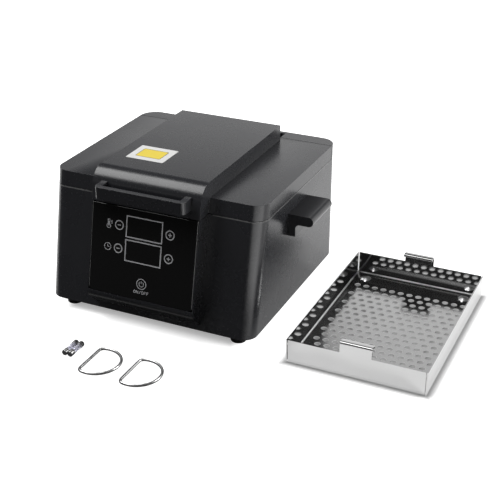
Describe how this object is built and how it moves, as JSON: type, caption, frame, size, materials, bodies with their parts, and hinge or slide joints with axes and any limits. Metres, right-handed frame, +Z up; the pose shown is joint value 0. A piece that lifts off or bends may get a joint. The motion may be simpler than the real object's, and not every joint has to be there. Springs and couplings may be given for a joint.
{
  "type": "bench-top dry-heat box oven",
  "caption": "Compact dry-heat box oven with a hinged lid, sloped touch console and lined chamber, beside its lift-out perforated tray, lifting rings and glass fuses.",
  "frame": {"origin": "on the floor plane under the middle of the housing, centred between its four feet", "axes": "+X to the right seen from the front, +Y to the back, where the mains inlet is, +Z up"},
  "size_m": [0.3872, 0.2965, 0.141],
  "materials": {
    "black_plastic": "fine satin",
    "handle_plastic": "semi gloss",
    "panel_glass": "gloss, printed black on the back",
    "zinc_plate": "zinc plated",
    "screws": "zinc plated",
    "rubber": "matt",
    "board": "solder mask",
    "brass_parts": "bright",
    "display": "smoked",
    "stainless": "bright",
    "aluminium_plate": "as cast",
    "element_sheath": "oxidised",
    "black_parts": "fine grain",
    "wool": "fibrous",
    "transformer": "varnished",
    "relay": "gloss",
    "capacitor": "gloss",
    "terminal_green": "plain",
    "ribbon": "plain",
    "lead_red": "silicone sleeve",
    "lead_brown": "plain",
    "hinge_steel": "zinc plated",
    "silicone": "soft",
    "sticker": "satin film",
    "polished_steel": "mirror polished",
    "ring_wire": "bright drawn wire",
    "fuse_metal": "nickel plated",
    "fuse_glass": "clear"
  },
  "bodies": {
    "housing": {"housing": "black_plastic", "base_plate": "zinc_plate", "base_screws": "screws", "feet": "rubber", "foot_screws": "screws", "right_side_handle": "handle_plastic", "left_side_handle": "handle_plastic", "side_handle_screws": "screws", "glass_panel": "panel_glass", "control_board": "board", "board_spacers": "brass_parts", "board_screws": "screws", "temperature_display": "display", "time_display": "display", "touch_springs": "brass_parts", "chamber_tub": "stainless", "heater_plate": "aluminium_plate", "heating_element": "element_sheath", "thermal_cutout": "black_parts", "temperature_probe": "stainless", "wool_jacket": "wool", "heat_shield": "zinc_plate", "shield_posts": "screws", "power_board": "board", "board_standoffs": "brass_parts", "transformer": "transformer", "relay": "relay", "capacitor": "capacitor", "terminal_block": "terminal_green", "ribbon_cable": "ribbon", "heater_leads": "lead_red", "mains_leads": "lead_brown", "mains_inlet": "black_parts", "inlet_pins": "brass_parts", "inlet_screws": "screws", "hinge_bracket": "hinge_steel", "hinge_pin": "hinge_steel", "bracket_screws": "screws"},
    "lid": {"lid_shell": "black_plastic", "pull_handle": "black_plastic", "pull_handle_screws": "screws", "hinge_arms": "hinge_steel", "arm_screws": "screws", "lid_liner": "stainless", "liner_pad": "wool", "lid_seal": "silicone", "liner_screws": "screws", "lid_sticker": "sticker"},
    "fuse_drawer": {"fuse_drawer": "black_parts", "fitted_fuse_caps": "fuse_metal", "fitted_fuse_tube": "fuse_glass"},
    "tray": {"tray_floor": "polished_steel", "tray_walls": "polished_steel"},
    "lifting_ring_1": {"lifting_ring_1": "ring_wire"},
    "lifting_ring_2": {"lifting_ring_2": "ring_wire"},
    "spare_fuse_1": {"spare_fuse_1_caps": "fuse_metal", "spare_fuse_1_tube": "fuse_glass"},
    "spare_fuse_2": {"spare_fuse_2_caps": "fuse_metal", "spare_fuse_2_tube": "fuse_glass"}
  },
  "joints": [
    {"name": "lid_hinge", "type": "hinge", "parent": "housing", "child": "lid", "pos_m": [0, 0.0862, 0.127], "axis": [-1, 0, 0], "range_deg": [0, 80]},
    {"name": "fuse_drawer_slide", "type": "slide", "parent": "housing", "child": "fuse_drawer", "axis": [0, 0.9997, 0.0255], "range_m": [0, 0.016]},
    {"name": "tray_lift", "type": "slide", "parent": "housing", "child": "tray", "axis": [0, 0, 1], "range_m": [0, 0.06]},
    {"name": "lifting_ring_1_lift", "type": "slide", "parent": "housing", "child": "lifting_ring_1", "axis": [0, 0, 1], "range_m": [0, 0.02]},
    {"name": "lifting_ring_2_lift", "type": "slide", "parent": "housing", "child": "lifting_ring_2", "axis": [0, 0, 1], "range_m": [0, 0.02]},
    {"name": "spare_fuse_1_lift", "type": "slide", "parent": "housing", "child": "spare_fuse_1", "axis": [0, 0, 1], "range_m": [0, 0.02]},
    {"name": "spare_fuse_2_lift", "type": "slide", "parent": "housing", "child": "spare_fuse_2", "axis": [0, 0, 1], "range_m": [0, 0.02]}
  ]
}
